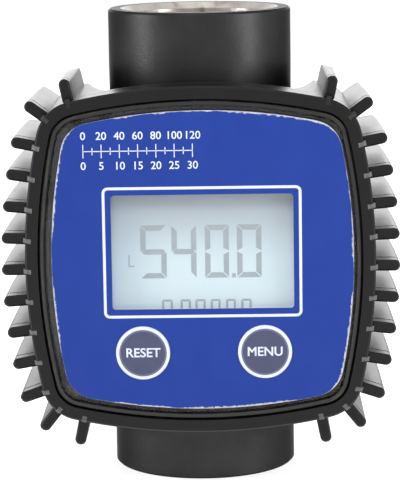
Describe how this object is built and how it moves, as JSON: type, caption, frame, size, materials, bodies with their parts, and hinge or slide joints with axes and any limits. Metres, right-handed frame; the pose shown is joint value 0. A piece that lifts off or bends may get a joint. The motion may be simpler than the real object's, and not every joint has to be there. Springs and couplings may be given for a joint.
{
  "type": "turbine flow meter",
  "caption": "Inline turbine flow meter: straight threaded-port tube with a ribbed square display head, rotor cartridge inside and push keys under the display.",
  "frame": {"origin": "centre of the inlet port's end face, on the flow axis", "axes": "+Z along the flow towards the outlet port, the display looks along -Y, +X is to the right of someone reading it"},
  "size_m": [0.0884, 0.0548, 0.1065],
  "materials": {
    "flow_coat": "black epoxy coating outside, bare machined bore and threads",
    "nylon_black": "satin moulded black nylon",
    "case_black": "smooth black",
    "lens_clear": "clear, polished",
    "label_blue": "printed film, satin",
    "lcd_glass": "pale liquid crystal panel",
    "white_plastic": "matte white",
    "rubber_black": "matte",
    "board_green": "solder resist",
    "chip_black": "matte",
    "key_cap": "satin, printed",
    "switch_black": "matte",
    "bush_brass": "turned",
    "steel_bright": "bright",
    "turbine_plastic": "moulded, pale",
    "liner_plastic": "moulded black",
    "magnet": "nickel plated",
    "cell_jacket": "plain printed jacket",
    "tray_black": "matte",
    "contact_nickel": "nickel plated",
    "screw_steel": "zinc plated",
    "sensor_black": "matte"
  },
  "bodies": {
    "meter": {"flow_body": "flow_coat", "inlet_straightener": "liner_plastic", "outlet_straightener": "liner_plastic", "chamber_liner": "liner_plastic", "chamber_seal": "rubber_black", "retaining_ring": "steel_bright", "inlet_bearing": "bush_brass", "outlet_bearing": "bush_brass", "inlet_thrust_washer": "steel_bright", "outlet_thrust_washer": "steel_bright", "head_housing": "nylon_black", "front_frame": "nylon_black", "frame_gasket": "rubber_black", "display_gasket": "rubber_black", "display_case": "case_black", "display_lens": "lens_clear", "face_label": "label_blue", "lcd_glass": "lcd_glass", "lcd_holder": "white_plastic", "lcd_contact_strips": "rubber_black", "circuit_board": "board_green", "board_chips": "chip_black", "reset_switch": "switch_black", "menu_switch": "switch_black", "pickup_sensor": "sensor_black", "pickup_seal": "rubber_black", "battery_holder": "tray_black", "battery_cells": "cell_jacket", "battery_contacts": "contact_nickel", "head_screws": "screw_steel", "tube_screws": "screw_steel"},
    "turbine": {"rotor": "turbine_plastic", "rotor_shaft": "steel_bright", "rotor_magnets": "magnet"},
    "reset_button": {"reset_key": "key_cap", "reset_switch_stem": "switch_black"},
    "menu_button": {"menu_key": "key_cap", "menu_switch_stem": "switch_black"}
  },
  "joints": [
    {"name": "rotor_spin", "type": "hinge", "parent": "meter", "child": "turbine", "pos_m": [0, 0, 0.0528], "axis": [0, 0, 1], "continuous": true},
    {"name": "reset_press", "type": "slide", "parent": "meter", "child": "reset_button", "axis": [0, 1, 0], "range_m": [0, 0.0004], "stiffness_N_per_m": 800, "springref_m": -0.0005},
    {"name": "menu_press", "type": "slide", "parent": "meter", "child": "menu_button", "axis": [0, 1, 0], "range_m": [0, 0.0004], "stiffness_N_per_m": 800, "springref_m": -0.0005}
  ]
}
